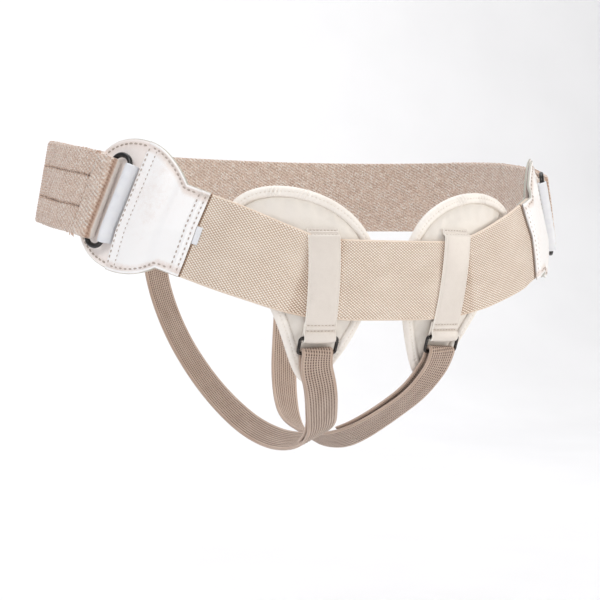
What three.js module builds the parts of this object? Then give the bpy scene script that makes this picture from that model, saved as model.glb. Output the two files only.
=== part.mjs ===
// A double hernia belt in its worn form, in millimetres, +Z up, front towards -Y.
// The origin is the centre of the waist opening, at the height of the two side rings.
// Every soft piece lies on one guide form, the hips that the belt is worn on. A place on it
// is the distance round the hips from the front middle, the height, and the distance outwards.

import * as THREE from 'three';
import { mergeVertices } from 'three/addons/utils/BufferGeometryUtils.js';

// The hips: a rounded oval section that narrows upwards and curves in under the belly
const HIP_HALF_WIDTH = 170;
const HIP_HALF_DEPTH = 120;
const HIP_ROUNDNESS = 2.25;
const WIDEST_HEIGHT = -20;
const SIDE_LEAN = 0.17;
const FRONT_LEAN = 0.12;
const BELLY_CURVE = 0.0035;

// The line that the belt follows: low across the front, rising to the sides, level behind
const FRONT_HEIGHT = -47.5;
const RISE = 0.37;
const BEND_AT = 51;
const BEND_EASE = 8;
const LEVEL_AT = 225;
const LEVEL_EASE = 30;

// Clear space between pieces that lie on each other
const GAP = 0.3;

// Front elastic
const BELT_WIDTH = 50;
const BELT_FRONT_WIDTH = 46.5;
const BELT_THICK = 1.8;
const BELT_WIDENS = { at: 85, ease: 9 };
const SEAM_AT = 119.5;
const SEAM_LAP = 13;

// Side patch: a neck as wide as the belt, then a lobe
const NECK_LENGTH = 15;
const LOBE_FULL_AT = 45;
const FLARE_POWER = 0.8;
const LOBE_HALF_HEIGHT = 38.5;
const LOBE_RISE = 3;
const PATCH_LENGTH = 84;
const PATCH_END_HALF = 8;
const LOBE_ROUNDNESS = 2.3;
const BASE_THICK = 1.4;
const BASE_CLEAR = 0.5;
const PANEL_THICK = 1.8;
const PANEL_LENGTH = 46.5;
const PANEL_SETTLED_AT = 24;
const PANEL_PUFF = { height: 1.6, start: 16, length: 25 };

// Side ring and the ribbon that holds it
const RING_LENGTH = 57;
const RING_WIDTH = 15;
const RING_WIRE = 3;
const RING_CORNER = 4.8;
const RING_AT = 57.5;
const RING_OFF = 4.4;
const RING_RISE = 2;
const RIBBON_LENGTH = 46;
const RIBBON_THICK = 1;
const RIBBON_START = 48;
const RIBBON_CLEAR = 0.45;

// Loop-pile strap round the back, folded through both rings
const STRAP_WIDTH = 50;
const STRAP_FOLD_WIDTH = 47;
const STRAP_THICK = 2.4;
const STRAP_EASE = 18;
const STRAP_WIDENS = { at: 12, ease: 3 };
const STRAP_SETTLES = { at: 26, ease: 6 };
const TAB_LENGTH = 112;

// Blank size tab in the left seam
const TAB_SIZE = { along: 2.9, across: 10, thick: 1.1 };

// Egg-shaped pads
const PAD = { foot: { s: 36.5, z: -109.5 }, tilt: 26, length: 125, middle: 68, bend: 22 };
const PAD_HALF_WIDTH = { foot: 24.2, headGain: 18.6, swell: 0.65 };
const PAD_FRONT = -0.6;
const PAD_BACK = -12;
const PAD_EDGE = { front: -2.2, back: -7.6 };
const BINDING_WIDTH = 7;
const BINDING_THICK = 5.2;

// Leatherette straps that cross the belt and hold the small rings
const PAD_STRAP_WIDTH = 19.6;
const PAD_STRAP_THICK = 1.3;
const PAD_STRAP_TOP = -16.5;
const PAD_STRAP_STEP = { start: -17.3, end: -20.6 };
const PAD_STRAP_SEWN = { start: -71, middle: -76, end: -72.5 };
const PAD_STRAP_AT = 45.6;
const PAD_STRAP_LEAN = 0.05;

// Small rings
const LEG_RING_LENGTH = 25;
const LEG_RING_HEIGHT = 10.7;
const LEG_RING_WIRE = 2;
const LEG_RING_CORNER = 1.6;
const LEG_RING_AT = 42.2;
const LEG_RING_TOP_BAR = -80.3;
const LEG_RING_OFF = 3;

// Ribbed leg elastic: the middle line of its way from the ring, under the crotch, to the back.
// x, y, z is the place and nx, ny, nz the way that its outer face looks.
const LEG_WIDTH = 19.4;
const LEG_DROP = { z: -95.5, off: 3.4 };
const LEG_FOLD_CLEAR = 0.5;
const LEG_THICK = 1.8;
const LEG_SECOND_LAYER = 92;
const LEG_LAYERS_CLOSE_AT = 14;
const LEG_ROUTE = [
  { x: 38, y: -98.2, z: -104, nx: 0.22, ny: -0.86, nz: -0.46 },
  { x: 33, y: -92, z: -114, nx: 0.14, ny: -0.8, nz: -0.58 },
  { x: 25, y: -77.5, z: -126, nx: 0.05, ny: -0.72, nz: -0.69 },
  { x: 17, y: -61, z: -137, nx: -0.15, ny: -0.56, nz: -0.81 },
  { x: 12.8, y: -40, z: -145.5, nx: -0.42, ny: -0.3, nz: -0.86 },
  { x: 13, y: -14, z: -149.5, nx: -0.55, ny: 0, nz: -0.83 },
  { x: 14, y: 16, z: -149, nx: -0.52, ny: 0.12, nz: -0.84 },
  { x: 18.5, y: 50, z: -140, nx: -0.34, ny: 0.44, nz: -0.83 },
  { x: 30, y: 83, z: -116, nx: -0.05, ny: 0.77, nz: -0.63 },
  { x: 43, y: 107, z: -82, nx: 0.16, ny: 0.92, nz: -0.36 },
  { x: 52, y: 119.5, z: -45, nx: 0.22, ny: 0.97, nz: -0.12 },
];
const LEG_END = { s: 58, low: -6, high: 36 };

const matte = (color, roughness = 0.85) => new THREE.MeshStandardMaterial({ color, roughness });
const metal = (color) => new THREE.MeshStandardMaterial({ color, roughness: 0.35, metalness: 0.9 });
const FINISH = {
  elastic: matte('#c9ad93'),
  pile: matte('#cbb09d', 0.98),
  white: matte('#fbf8f5', 0.45),
  base: matte('#e8ddd5', 0.55),
  ribbon: matte('#fdfcfb', 0.35),
  pad: matte('#e6e0d8', 0.5),
  binding: matte('#f0e8e0', 0.45),
  leather: matte('#e2dcd2', 0.5),
  ribbed: matte('#b8a090'),
  black: metal('#1c1a19'),
  gunmetal: metal('#3a3735'),
};

// Guide form

class HipSection extends THREE.Curve {
  getPoint(t, target = new THREE.Vector3()) {
    const angle = (t - 0.5) * 2 * Math.PI;
    const rounded = (value) => Math.sign(value) * Math.abs(value) ** (2 / HIP_ROUNDNESS);
    return target.set(
      HIP_HALF_WIDTH * rounded(Math.sin(angle)),
      -HIP_HALF_DEPTH * rounded(Math.cos(angle)),
      0,
    );
  }
}

const hips = new HipSection();
hips.arcLengthDivisions = 1440;
const HIP_GIRTH = hips.getLength();

function hipPoint(s, z) {
  const turn = s / HIP_GIRTH + 0.5;
  const point = hips.getPointAt(turn - Math.floor(turn));
  const above = Math.max(z - WIDEST_HEIGHT, 0);
  const below = Math.max(WIDEST_HEIGHT - z, 0);
  point.x *= 1 - (SIDE_LEAN * above) / HIP_HALF_WIDTH;
  point.y *= 1 - (FRONT_LEAN * above + BELLY_CURVE * below ** 2) / HIP_HALF_DEPTH;
  point.z = z;
  return point;
}

function onHip(s, z, off) {
  const step = 1;
  const along = hipPoint(s + step, z).sub(hipPoint(s - step, z));
  const up = hipPoint(s, z + step).sub(hipPoint(s, z - step));
  return hipPoint(s, z).addScaledVector(along.cross(up).normalize(), off);
}

// Belt line

const softRamp = (x, at, ease) => ease * Math.log1p(Math.exp((x - at) / ease));
const softStep = (x, at, ease) => 1 / (1 + Math.exp(-(x - at) / ease));

function fromFront(s) {
  return s - HIP_GIRTH * Math.round(s / HIP_GIRTH);
}

function lineHeight(s) {
  const x = Math.abs(fromFront(s));
  return FRONT_HEIGHT + RISE * (softRamp(x, BEND_AT, BEND_EASE) - softRamp(x, LEVEL_AT, LEVEL_EASE));
}

function lineAngle(s) {
  const side = fromFront(s);
  const x = Math.abs(side);
  const slope = RISE * (softStep(x, BEND_AT, BEND_EASE) - softStep(x, LEVEL_AT, LEVEL_EASE));
  return Math.atan(slope * Math.sign(side));
}

function onLine(s, across, off) {
  const angle = lineAngle(s);
  return onHip(s - across * Math.sin(angle), lineHeight(s) + across * Math.cos(angle), off);
}

// On a side patch the place is the distance from the seam, across and outwards
const seamToHip = (p) => SEAM_AT + p / Math.hypot(1, RISE);
const onPatch = (p, across, off) => onLine(seamToHip(p), across, off);

// Closed bodies from three.js shapes whose points are moved into place

function shaped(geometry, place) {
  const source = geometry.index ? geometry : mergeVertices(geometry);
  source.deleteAttribute('normal');
  source.deleteAttribute('uv');
  const points = source.attributes.position;
  for (let i = 0; i < points.count; i += 1) {
    const moved = place(points.getX(i), points.getY(i), points.getZ(i));
    points.setXYZ(i, moved.x, moved.y, moved.z);
  }
  return outward(mergeVertices(source, 1e-4));
}

function outward(geometry) {
  const at = geometry.attributes.position;
  const corner = (i) => new THREE.Vector3().fromBufferAttribute(at, i);
  const faces = [];
  let volume = 0;
  for (let i = 0; i < geometry.index.count; i += 3) {
    const [a, b, c] = [0, 1, 2].map((k) => geometry.index.getX(i + k));
    if (a !== b && b !== c && c !== a) {
      faces.push([a, b, c]);
      volume += corner(a).dot(corner(b).cross(corner(c)));
    }
  }
  const turned = volume > 0 ? faces : faces.map(([a, b, c]) => [a, c, b]);
  geometry.setIndex(turned.flat());
  geometry.computeVertexNormals();
  return geometry;
}

function mirrored(geometry) {
  return outward(geometry.clone().scale(-1, 1, 1));
}

// Stations down a flat path: each curve of the list is cut into its number of steps
function stations(curves) {
  const list = [];
  curves.forEach(([curve, steps], index) => {
    for (let i = index === 0 ? 0 : 1; i <= steps; i += 1) {
      const point = curve.getPoint(i / steps);
      const tangent = curve.getTangent(i / steps);
      list.push({ l: point.x, n: point.y, sideL: -tangent.y, sideN: tangent.x });
    }
  });
  return list;
}

const flat = (l, n) => new THREE.Vector2(l, n);
const straight = (l0, n0, l1, n1) => new THREE.LineCurve(flat(l0, n0), flat(l1, n1));

// An S from one level to another, level at both ends, that turns at a share of its length
function easing(l0, n0, l1, n1, share = 0.5) {
  const turn = THREE.MathUtils.lerp(l0, l1, share);
  return new THREE.CubicBezierCurve(flat(l0, n0), flat(turn, n0), flat(turn, n1), flat(l1, n1));
}

// A half turn, clockwise, round a bar
function halfTurn(l, n, radius, startAngle) {
  return new THREE.EllipseCurve(l, n, radius, radius, startAngle, startAngle - Math.PI, true);
}

// A band of cloth: a flat path with thickness, as wide as width says, put in place
function band(path, crossSteps, thick, width, place) {
  const last = path.length - 1;
  return shaped(new THREE.BoxGeometry(1, 1, 1, last, crossSteps, 1), (x, y, z) => {
    const stop = path[Math.round((x + 0.5) * last)];
    const off = z * (typeof thick === 'function' ? thick(stop.l, y * 2) : thick);
    const lift = typeof thick === 'function' ? off + thick(stop.l, y * 2) / 2 : off;
    return place(stop.l + stop.sideL * lift, y * width(stop.l), stop.n + stop.sideN * lift);
  });
}

// A ring of wire round a closed flat outline, given as a place and a direction for each turn
function wireLoop(outline, halfAcross, halfThick, around, sides, place) {
  const hub = 10;
  return shaped(new THREE.TorusGeometry(hub, 1, sides, around), (x, y, z) => {
    const angle = Math.atan2(y, x);
    const reach = (Math.hypot(x, y) - hub) * halfAcross;
    const { at, out } = outline((angle / (2 * Math.PI) + 1) % 1);
    return place(at.x + out.x * reach, at.y + out.y * reach, z * halfThick);
  });
}

// Middle line of a wire bent to a rectangle with round corners
function roundedRectangle(width, height, corner) {
  const shape = new THREE.Path();
  const x = width / 2;
  const y = height / 2;
  shape.moveTo(x, 0);
  shape.lineTo(x, y - corner);
  shape.absarc(x - corner, y - corner, corner, 0, Math.PI / 2);
  shape.lineTo(corner - x, y);
  shape.absarc(corner - x, y - corner, corner, Math.PI / 2, Math.PI);
  shape.lineTo(-x, corner - y);
  shape.absarc(corner - x, corner - y, corner, Math.PI, 1.5 * Math.PI);
  shape.lineTo(x - corner, -y);
  shape.absarc(x - corner, corner - y, corner, 1.5 * Math.PI, 2 * Math.PI);
  shape.lineTo(x, 0);
  return (turn) => {
    const tangent = shape.getTangentAt(turn);
    return { at: shape.getPointAt(turn), out: flat(tangent.y, -tangent.x) };
  };
}

// Pieces

function frontBelt() {
  const end = SEAM_AT + SEAM_LAP;
  const middle = BELT_THICK / 2;
  const width = (s) => {
    const wide = softStep(Math.abs(s), BELT_WIDENS.at, BELT_WIDENS.ease);
    return BELT_FRONT_WIDTH + (BELT_WIDTH - BELT_FRONT_WIDTH) * wide;
  };
  const path = stations([[straight(-end, middle, end, middle), 60]]);
  return band(path, 4, BELT_THICK, width, onLine);
}

// Half the height of the patch at a distance from the seam
function patchHalfHeight(p) {
  const neck = BELT_WIDTH / 2;
  if (p <= NECK_LENGTH) {
    return neck;
  }
  if (p <= LOBE_FULL_AT) {
    const flare = Math.sin(((p - NECK_LENGTH) / (LOBE_FULL_AT - NECK_LENGTH)) * (Math.PI / 2));
    return neck + (LOBE_HALF_HEIGHT - neck) * flare ** FLARE_POWER;
  }
  const closing = (p - LOBE_FULL_AT) / (PATCH_LENGTH - LOBE_FULL_AT);
  const round = (1 - closing ** LOBE_ROUNDNESS) ** (1 / LOBE_ROUNDNESS);
  return Math.max(LOBE_HALF_HEIGHT * round, PATCH_END_HALF);
}

const patchRise = (p) => LOBE_RISE * softStep(p, (NECK_LENGTH + LOBE_FULL_AT) / 2, 6);
const patchWidth = (p) => 2 * patchHalfHeight(p);
const onRaisedPatch = (p, across, off) => onPatch(p, across + patchRise(p), off);

function patchBase() {
  const level = -BASE_CLEAR - BASE_THICK / 2;
  const path = stations([
    [straight(2, level, NECK_LENGTH, level), 2],
    [straight(NECK_LENGTH, level, LOBE_FULL_AT, level), 7],
    [straight(LOBE_FULL_AT, level, PATCH_LENGTH - 6, level), 5],
    [straight(PATCH_LENGTH - 6, level, PATCH_LENGTH, level), 4],
  ]);
  return band(path, 6, BASE_THICK, patchWidth, onRaisedPatch);
}

function patchPanel() {
  const high = BELT_THICK + GAP;
  const path = stations([
    [straight(0, high, SEAM_LAP + 1.5, high), 3],
    [easing(SEAM_LAP + 1.5, high, PANEL_SETTLED_AT, 0), 4],
    [straight(PANEL_SETTLED_AT, 0, PANEL_LENGTH, 0), 7],
  ]);
  const thick = (p, across) => {
    const share = THREE.MathUtils.clamp((p - PANEL_PUFF.start) / PANEL_PUFF.length, 0, 1);
    const puff = PANEL_PUFF.height * Math.sin(Math.PI * share);
    return PANEL_THICK + puff * (1 - across ** 4);
  };
  return band(path, 6, thick, patchWidth, onRaisedPatch);
}

function sideRing() {
  const outline = roundedRectangle(RING_WIDTH - RING_WIRE, RING_LENGTH - RING_WIRE, RING_CORNER);
  const radius = RING_WIRE / 2;
  return wireLoop(outline, radius, radius, 40, 6, (x, y, z) =>
    onPatch(RING_AT + x, y + RING_RISE, RING_OFF + z),
  );
}

function ringRibbon() {
  const bar = RING_AT - (RING_WIDTH - RING_WIRE) / 2;
  const radius = (RING_WIRE + RIBBON_THICK) / 2 + RIBBON_CLEAR;
  const low = RIBBON_THICK / 2;
  const high = low + RIBBON_THICK + GAP;
  const path = stations([
    [easing(RIBBON_START, high, bar, RING_OFF + radius, 0.1), 4],
    [halfTurn(bar, RING_OFF, radius, Math.PI / 2), 7],
    [easing(bar, RING_OFF - radius, RIBBON_START, low, 0.6), 4],
  ]);
  return band(path, 5, RIBBON_THICK, () => RIBBON_LENGTH, (p, across, off) =>
    onPatch(p, across + RING_RISE, off),
  );
}

function backStrap() {
  const bar = seamToHip(RING_AT + (RING_WIDTH - RING_WIRE) / 2);
  const inner = STRAP_THICK / 2;
  const outer = inner + STRAP_THICK + GAP;
  const radius = RING_OFF - inner;
  const top = RING_OFF + radius;
  const far = HIP_GIRTH - bar;
  const path = stations([
    [straight(far - TAB_LENGTH, outer, far - STRAP_EASE, outer), 16],
    [easing(far - STRAP_EASE, outer, far, top), 4],
    [halfTurn(far, RING_OFF, radius, Math.PI / 2), 8],
    [straight(far, inner, bar, inner), 71],
    [halfTurn(bar, RING_OFF, radius, 1.5 * Math.PI), 8],
    [easing(bar, top, bar + STRAP_EASE, outer), 4],
    [straight(bar + STRAP_EASE, outer, bar + TAB_LENGTH, outer), 16],
  ]);
  const fromBar = (s) => Math.abs(fromFront(s)) - bar;
  const width = (s) => {
    const widening = softStep(fromBar(s), STRAP_WIDENS.at, STRAP_WIDENS.ease);
    return STRAP_FOLD_WIDTH + (STRAP_WIDTH - STRAP_FOLD_WIDTH) * widening;
  };
  return band(path, 3, STRAP_THICK, width, (s, across, off) => {
    const settled = softStep(fromBar(s), STRAP_SETTLES.at, STRAP_SETTLES.ease);
    return onLine(s, across + RING_RISE * (1 - settled), off);
  });
}

function sizeTab() {
  const { along, across, thick } = TAB_SIZE;
  const level = BELT_THICK + GAP + thick / 2;
  const path = stations([[straight(-GAP - along, level, -GAP, level), 1]]);
  return band(path, 1, thick, () => across, onPatch);
}

const padBend = (rise) => PAD.bend * Math.sin(Math.PI * rise);

// The pad's outline: an egg whose middle bends towards the front, drawn in by an inset
function padOutline(turn, inset) {
  const { foot, headGain, swell } = PAD_HALF_WIDTH;
  const egg = (angle) => {
    const rise = (1 + Math.sin(angle)) / 2;
    const half = foot + headGain * rise ** swell;
    return flat(half * Math.cos(angle) - padBend(rise), PAD.length * rise);
  };
  const angle = turn * 2 * Math.PI;
  const step = 0.01;
  const along = egg(angle + step).sub(egg(angle - step)).normalize();
  const out = flat(along.y, -along.x);
  return { at: egg(angle).addScaledVector(out, -inset), out };
}

function onPad(x, up, off) {
  const tilt = THREE.MathUtils.degToRad(PAD.tilt);
  const s = PAD.foot.s + up * Math.sin(tilt) + x * Math.cos(tilt);
  const z = PAD.foot.z + up * Math.cos(tilt) - x * Math.sin(tilt);
  return onHip(s, z, off);
}

function pad() {
  const levels = [0, 0.4, 0.7, 0.9, 1];
  const back = levels.map((r) => flat(r, -1));
  const front = levels.map((r) => flat(r, 1)).reverse();
  return shaped(new THREE.LatheGeometry([...back, ...front], 32), (x, y, z) => {
    const r = Math.hypot(x, z);
    const { at } = padOutline(Math.atan2(z, x) / (2 * Math.PI), BINDING_WIDTH + GAP);
    const off = y > 0
      ? THREE.MathUtils.lerp(PAD_FRONT, PAD_EDGE.front, r ** 4)
      : THREE.MathUtils.lerp(PAD_BACK, PAD_EDGE.back, r ** 3);
    const across = THREE.MathUtils.lerp(-padBend(PAD.middle / PAD.length), at.x, r);
    return onPad(across, THREE.MathUtils.lerp(PAD.middle, at.y, r), off);
  });
}

function padBinding() {
  const halfWidth = BINDING_WIDTH / 2;
  const outline = (turn) => padOutline(turn, halfWidth);
  const middle = PAD_FRONT - BINDING_THICK / 2;
  return wireLoop(outline, halfWidth, BINDING_THICK / 2, 36, 8, (x, up, z) =>
    onPad(x, up, middle + z),
  );
}

function padStrap() {
  const half = PAD_STRAP_THICK / 2;
  const onPadLevel = PAD_FRONT + GAP + half;
  const overBelt = BELT_THICK + GAP + half;
  const radius = LEG_RING_WIRE / 2 + GAP + half;
  const behind = LEG_RING_OFF - radius;
  const sewn = behind + PAD_STRAP_THICK + GAP;
  const down = (z) => PAD_STRAP_TOP - z;
  const bar = down(LEG_RING_TOP_BAR);
  const { start, middle, end } = PAD_STRAP_SEWN;
  const path = stations([
    [straight(0, onPadLevel, down(PAD_STRAP_STEP.start), onPadLevel), 1],
    [easing(down(PAD_STRAP_STEP.start), onPadLevel, down(PAD_STRAP_STEP.end), overBelt), 4],
    [straight(down(PAD_STRAP_STEP.end), overBelt, down(start), overBelt), 6],
    [easing(down(start), overBelt, down(middle), sewn), 2],
    [easing(down(middle), sewn, bar, LEG_RING_OFF + radius), 3],
    [halfTurn(bar, LEG_RING_OFF, radius, Math.PI / 2), 8],
    [straight(bar, behind, down(middle), behind), 1],
    [straight(down(middle), behind, down(end), behind), 1],
  ]);
  return band(path, 2, PAD_STRAP_THICK, () => PAD_STRAP_WIDTH, (l, across, off) => {
    const z = PAD_STRAP_TOP - l;
    return onHip(PAD_STRAP_AT + l * -PAD_STRAP_LEAN + across, z, off);
  });
}

function legRing() {
  const height = LEG_RING_HEIGHT - LEG_RING_WIRE;
  const outline = roundedRectangle(LEG_RING_LENGTH - LEG_RING_WIRE, height, LEG_RING_CORNER);
  const radius = LEG_RING_WIRE / 2;
  const middle = LEG_RING_TOP_BAR - height / 2;
  return wireLoop(outline, radius, radius, 28, 6, (x, y, z) =>
    onHip(LEG_RING_AT + x, middle + y, LEG_RING_OFF + z),
  );
}

// The leg elastic's way as smooth curves of place and facing, by length from the small ring
function legRoute() {
  const barHeight = LEG_RING_TOP_BAR - (LEG_RING_HEIGHT - LEG_RING_WIRE);
  const bar = onHip(LEG_RING_AT, barHeight, LEG_RING_OFF);
  const below = onHip(LEG_RING_AT, LEG_DROP.z, LEG_DROP.off);
  const outOfBar = onHip(LEG_RING_AT, barHeight, LEG_RING_OFF + 1).sub(bar);
  const end = HIP_GIRTH / 2 - LEG_END.s;
  const lap = STRAP_THICK + GAP;
  const laps = [LEG_END.low, (LEG_END.low + LEG_END.high) / 2, LEG_END.high];
  const lapPoints = laps.map((z) => onHip(end, z, lap));
  const lapFacing = laps.map((z) => onHip(end, z, lap + 1).sub(onHip(end, z, lap)));
  const places = LEG_ROUTE.map((row) => new THREE.Vector3(row.x, row.y, row.z));
  const facings = LEG_ROUTE.map((row) => new THREE.Vector3(row.nx, row.ny, row.nz));
  const way = new THREE.CatmullRomCurve3([bar, below, ...places, ...lapPoints]);
  const facing = new THREE.CatmullRomCurve3([outOfBar, outOfBar, ...facings, ...lapFacing]);
  way.arcLengthDivisions = 400;
  return { way, facing, length: way.getLength() };
}

function legStrap() {
  const { way, facing, length } = legRoute();
  const half = LEG_THICK / 2;
  const radius = LEG_RING_WIRE / 2 + LEG_FOLD_CLEAR + half;
  const place = (l, across, off) => {
    const turn = THREE.MathUtils.clamp(l / length, 0, 1);
    const t = way.getUtoTmapping(turn);
    const tangent = way.getTangent(t);
    const over = l - turn * length;
    const face = facing.getPoint(t).projectOnPlane(tangent).normalize();
    const side = face.clone().cross(tangent);
    const point = way.getPoint(t).addScaledVector(tangent, over);
    return point.addScaledVector(side, across).addScaledVector(face, off);
  };
  const path = stations([
    [straight(LEG_SECOND_LAYER, -half - GAP, LEG_LAYERS_CLOSE_AT, -radius), 12],
    [straight(LEG_LAYERS_CLOSE_AT, -radius, 0, -radius), 2],
    [halfTurn(0, 0, radius, 1.5 * Math.PI), 8],
    [straight(0, radius, LEG_LAYERS_CLOSE_AT, radius), 2],
    [straight(LEG_LAYERS_CLOSE_AT, radius, LEG_SECOND_LAYER, half + GAP), 12],
    [straight(LEG_SECOND_LAYER, half + GAP, length, half + GAP), 30],
  ]);
  return band(path, 2, LEG_THICK, () => LEG_WIDTH, place);
}

const belt = new THREE.Group();

function add(name, geometry, material) {
  const mesh = new THREE.Mesh(geometry, material);
  mesh.name = name;
  belt.add(mesh);
}

function addPair(name, geometry, material) {
  add(`${name}_right`, geometry, material);
  add(`${name}_left`, mirrored(geometry), material);
}

add('front_belt', frontBelt(), FINISH.elastic);
add('back_strap', backStrap(), FINISH.pile);
add('size_tab', mirrored(sizeTab()), FINISH.ribbon);
addPair('patch_base', patchBase(), FINISH.base);
addPair('patch_panel', patchPanel(), FINISH.white);
addPair('side_ring', sideRing(), FINISH.black);
addPair('ring_ribbon', ringRibbon(), FINISH.ribbon);
addPair('pad', pad(), FINISH.pad);
addPair('pad_binding', padBinding(), FINISH.binding);
addPair('pad_strap', padStrap(), FINISH.leather);
addPair('leg_ring', legRing(), FINISH.gunmetal);
addPair('leg_strap', legStrap(), FINISH.ribbed);

export default belt;
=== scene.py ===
"""The looks of a double hernia belt in its worn form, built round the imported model.

Places are worked out in millimetres on a smooth guide form inside the belt: the distance
round it from the front middle (s), the height (z) and the distance outwards (off). Cloth is
laid by its length (l, or p from a seam), the place across it (q) and its level (n). Meshes are
in metres.
"""

import math

import bpy
import numpy as np
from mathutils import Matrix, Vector


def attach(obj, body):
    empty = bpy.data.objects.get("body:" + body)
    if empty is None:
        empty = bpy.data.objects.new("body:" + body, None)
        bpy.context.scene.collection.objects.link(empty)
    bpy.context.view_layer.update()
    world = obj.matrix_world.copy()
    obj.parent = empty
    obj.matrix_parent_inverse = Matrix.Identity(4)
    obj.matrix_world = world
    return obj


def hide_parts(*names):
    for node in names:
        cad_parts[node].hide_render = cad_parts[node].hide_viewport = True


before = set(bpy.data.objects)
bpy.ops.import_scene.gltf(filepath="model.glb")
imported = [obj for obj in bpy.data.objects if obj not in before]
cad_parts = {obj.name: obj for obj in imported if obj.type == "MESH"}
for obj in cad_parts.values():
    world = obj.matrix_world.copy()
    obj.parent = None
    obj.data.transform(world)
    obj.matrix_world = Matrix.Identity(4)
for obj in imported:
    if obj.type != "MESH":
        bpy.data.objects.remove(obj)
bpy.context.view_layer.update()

MM = 0.001
GAP = 0.3

# The guide form: its half sizes where it is widest, and how it draws in above and below
HIP_HALF_WIDTH = 170
HIP_HALF_DEPTH = 120
HIP_ROUNDNESS = 2.25
WIDEST_HEIGHT = -20
SIDE_LEAN = 0.17
FRONT_LEAN = 0.12
BELLY_CURVE = 0.0035

# The belt's line: level in front, rising from a bend on each side, level again behind
FRONT_HEIGHT = -47.5
RISE = 0.37
BEND_AT = 51
BEND_EASE = 8
LEVEL_AT = 225
LEVEL_EASE = 30

# Front elastic
BELT_WIDTH = 50
BELT_FRONT_WIDTH = 46.5
BELT_WIDENS_AT = 85
BELT_THICK = 1.8
WEAVE_ALONG = 2.2
WEAVE_ACROSS = 1.6
SEAM_AT = 119.5
SEAM_LAP = 13
# Where it stands off the form: how far, from, to, and over what length it rises
BELT_LIFTS = ((1.3, -200, 31, 1.6), (1.5, 62, 108, 2.2))

# Side patches, measured from the seam
NECK_LENGTH = 15
LOBE_FULL_AT = 45
LOBE_HALF_HEIGHT = 38.5
LOBE_RISE = 3
LOBE_RISES_AT = 30
LOBE_ROUNDNESS = 2.3
PATCH_LENGTH = 84
PATCH_END_HALF = 8
BASE_THICK = 1.4
BASE_CLEAR = 0.5
PANEL_THICK = 1.8
PANEL_LENGTH = 46.5
PANEL_SETTLED_AT = 24
SEAM_ROWS = (2.1, 6.0)
END_ROWS = (40.2, 45.2)
HEM_INSET = 3

# Side rings and their ribbons
RING_LENGTH = 56.4
RING_WIDTH = 15
RING_WIRE = 3
RING_CORNER = 5.6
RING_AT = 57.5
RING_OFF = 4.4
RING_RISE = 2
RING_BAR = (RING_WIDTH - RING_WIRE) / 2
RIBBON_LENGTH = 46
RIBBON_THICK = 1
RIBBON_START = 48
TAB_THICK = 1
TAB_WIDTH = 10

# Strap round the back. Its ridge and groove are measured from the fold over the ring
STRAP_WIDTH = 50
STRAP_FOLD_WIDTH = 47
STRAP_THICK = 2.4
STRAP_EASE = 18
LAP_LENGTH = 112
LAP_ROWS = (9.7, -8.9)
RIDGE_AT = 6
GROOVE_AT = 10.2
GROOVE_HALF = 1.6
CURL_SLANT = 0.75
CURL_SPACING = 2.3
FRAY_SPACING = 1.1

# Pads, measured from the foot, leaning outwards
PAD_FOOT = (36.5, -109.5)
PAD_TILT = math.radians(26)
PAD_LENGTH = 125
PAD_MIDDLE = 68
PAD_FOOT_HALF = 24.2
PAD_GROWTH = 18.6
PAD_FULLNESS = 0.65
PAD_BEND = 22
PAD_FRONT = -0.6
PAD_BACK = -12
PAD_GATHERS = 34
SWELLING = {
    "quality": 5,
    "mass": 0.2,
    "tension_stiffness": 15,
    "compression_stiffness": 15,
    "shear_stiffness": 6,
    "bending_stiffness": 5,
    "use_pressure": True,
    "uniform_pressure_force": 4,
    "shrink_min": -0.008,
}
BINDING_WIDTH = 7
BINDING_THICK = 5.2
BINDING_PITCH = 2.6
PINCH_AT = (84, 104)

# Leatherette straps. Rows and welts are below the top edge, or heights near the lower end
PAD_STRAP_WIDTH = 19.6
PAD_STRAP_THICK = 1.3
PAD_STRAP_TOPS = {"left": -18.2, "right": -16.6}
PAD_STRAP_AT = 45.6
PAD_STRAP_LEAN = 0.05
PAD_STRAP_LEANS_FROM = -14
TOP_ROWS = (1.1, 3.7)
TOP_WELT = 2.4
LOW_ROWS = (-73.0, -76.2)
LOW_WELTS = (-74.6, -77.8)
LEAVES_BELT_AT = -71
REACHES_PAD_AT = -76
TAIL_TOP = -72.5

# Small rings
LEG_RING_LENGTH = 25
LEG_RING_HEIGHT = 10.7
LEG_RING_WIRE = 2
LEG_RING_CORNER = 1.6
LEG_RING_AT = 42.2
LEG_RING_TOP_BAR = -80.3
LEG_RING_OFF = 3

# Ribbed leg elastic
LEG_WIDTH = 19.4
LEG_THICK = 1.8
LEG_FOLD_CLEAR = 0.5
LEG_SECOND_LAYER = 92
LEG_LAYERS_CLOSE_AT = 14
LEG_RIBS = 12
RIB_PITCH = LEG_WIDTH / LEG_RIBS
PICK_PITCH = 1.57
# The leg elastic's middle line: a place and the way that the outer face looks there
LEG_ROUTE = (
    ((38, -98.2, -104), (0.22, -0.86, -0.46)),
    ((33, -92, -114), (0.14, -0.8, -0.58)),
    ((25, -77.5, -126), (0.05, -0.72, -0.69)),
    ((17, -61, -137), (-0.15, -0.56, -0.81)),
    ((12.8, -40, -145.5), (-0.42, -0.3, -0.86)),
    ((13, -14, -149.5), (-0.55, 0, -0.83)),
    ((14, 16, -149), (-0.52, 0.12, -0.84)),
    ((18.5, 50, -140), (-0.34, 0.44, -0.83)),
    ((30, 83, -116), (-0.05, 0.77, -0.63)),
    ((43, 107, -82), (0.16, 0.92, -0.36)),
    ((52, 119.5, -45), (0.22, 0.97, -0.12)),
)
# A height below the small ring and how far off the form the elastic hangs there
LEG_HANG = (-95.5, 3.4)
LEG_END_AT = 58
LEG_END_HEIGHTS = (-6, 15, 36)
LEG_BOX = (1.6, 19.4)
LEG_BOX_HALF = 8.2


# Guide form


def rounded(value):
    return np.sign(value) * np.abs(value) ** (2 / HIP_ROUNDNESS)


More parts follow.
